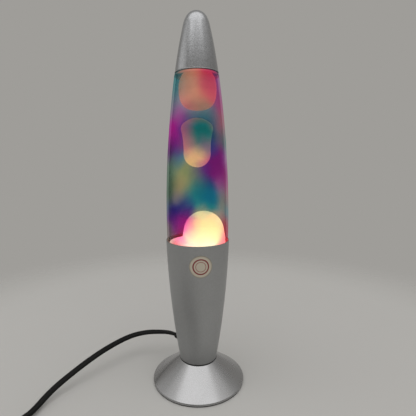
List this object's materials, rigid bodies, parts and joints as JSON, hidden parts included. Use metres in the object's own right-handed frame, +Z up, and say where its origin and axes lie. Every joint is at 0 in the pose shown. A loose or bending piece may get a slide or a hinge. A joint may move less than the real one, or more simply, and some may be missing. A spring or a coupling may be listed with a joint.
{
  "type": "liquid motion lamp",
  "caption": "Rocket-shaped glass bottle of tinted liquid and rising wax on a spun aluminium cup and flared foot, with a pointed metal cap and mains lead.",
  "frame": {"origin": "middle of the table surface that the rubber feet stand on, on the lamp's axis", "axes": "+Z up along the lamp's axis, front facing -Y, mains lead leaving at the back towards -X"},
  "size_m": [0.2155, 0.2139, 0.3678],
  "materials": {
    "spun_aluminium": "satin, spun and lightly brushed",
    "cap_aluminium": "satin, spun",
    "zinc_steel": "zinc plated",
    "feet_rubber": "moulded, matt",
    "cord_pvc": "black, slightly glossy PVC",
    "black_plastic": "fine moulded grain",
    "rocker_plastic": "glossy moulded",
    "porcelain": "glazed porcelain",
    "brass": "bright",
    "nickel_brass": "nickel plated",
    "lead_silicone": "brown sleeve",
    "lead_silicone_blue": "blue sleeve",
    "bottle_glass": "clear, blown",
    "bulb_glass": "frosted front, mirrored back",
    "bulb_metal": "rolled sheet",
    "bulb_insulator": "black glass",
    "tungsten": "drawn wire",
    "liquid": "clear tinted liquid",
    "wax": "soft, translucent",
    "steel_spring": "bare wire",
    "closure_tin": "lacquered tin plate",
    "liner": "soft sealing disc",
    "label_paper": "matt paper with a thin printed ring"
  },
  "bodies": {
    "lamp": {"foot_shell": "spun_aluminium", "cup_shell": "spun_aluminium", "base_cover": "zinc_steel", "base_nut": "zinc_steel", "base_washer": "zinc_steel", "cup_nut": "zinc_steel", "cup_washer": "zinc_steel", "threaded_rod": "zinc_steel", "rubber_feet": "feet_rubber", "bottle_seat": "zinc_steel", "round_label": "label_paper", "cord_gland": "black_plastic", "cord_entry": "cord_pvc", "cord_lamp_stretch": "cord_pvc", "cord_coil": "cord_pvc", "holder_bracket": "zinc_steel", "holder_body": "porcelain", "holder_screw_shell": "nickel_brass", "holder_centre_contact": "brass", "holder_screws": "zinc_steel", "terminal_blocks": "brass", "terminal_screws": "zinc_steel", "lead_live": "lead_silicone", "lead_neutral": "lead_silicone_blue", "switch_base": "black_plastic", "switch_cover": "black_plastic", "switch_contacts": "brass", "switch_screws": "zinc_steel", "plug_body": "black_plastic", "plug_pins": "nickel_brass", "pin_sleeves": "black_plastic"},
    "bottle": {"glass_bottle": "bottle_glass", "liquid_fill": "liquid", "wax_pool_dome": "wax", "wax_blob_middle": "wax", "wax_blob_top": "wax", "heat_ring": "steel_spring", "crown_closure": "closure_tin", "closure_liner": "liner"},
    "cap": {"top_cap": "cap_aluminium"},
    "bulb_base": {"bulb_insulator": "bulb_insulator", "bulb_contact": "bulb_metal"},
    "bulb": {"bulb_envelope": "bulb_glass", "bulb_screw_cap": "bulb_metal", "bulb_stem": "bulb_glass", "bulb_filament": "tungsten"},
    "rocker": {"switch_rocker": "rocker_plastic"}
  },
  "joints": [
    {"name": "bottle_lift", "type": "slide", "parent": "lamp", "child": "bottle", "axis": [0, 0, 1], "range_m": [0, 0.2]},
    {"name": "cap_lift", "type": "slide", "parent": "bottle", "child": "cap", "axis": [0, 0, 1], "range_m": [0, 0.1]},
    {"name": "bulb_rise", "type": "slide", "parent": "lamp", "child": "bulb_base", "axis": [0, 0, 1], "range_m": [0, 0.00846]},
    {"name": "bulb_turn", "type": "hinge", "parent": "bulb_base", "child": "bulb", "pos_m": [0, 0, 0.045], "axis": [0, 0, 1], "range_deg": [0, 1080]},
    {"name": "rocker_switch", "type": "hinge", "parent": "lamp", "child": "rocker", "pos_m": [-0.1555, -0.106, 0.0112], "axis": [1, 0, 0], "range_deg": [0, 14]}
  ],
  "couplings": [
    {"joint": "bulb_rise", "follows": "bulb_turn", "m_per_rad": 0.00044882}
  ]
}
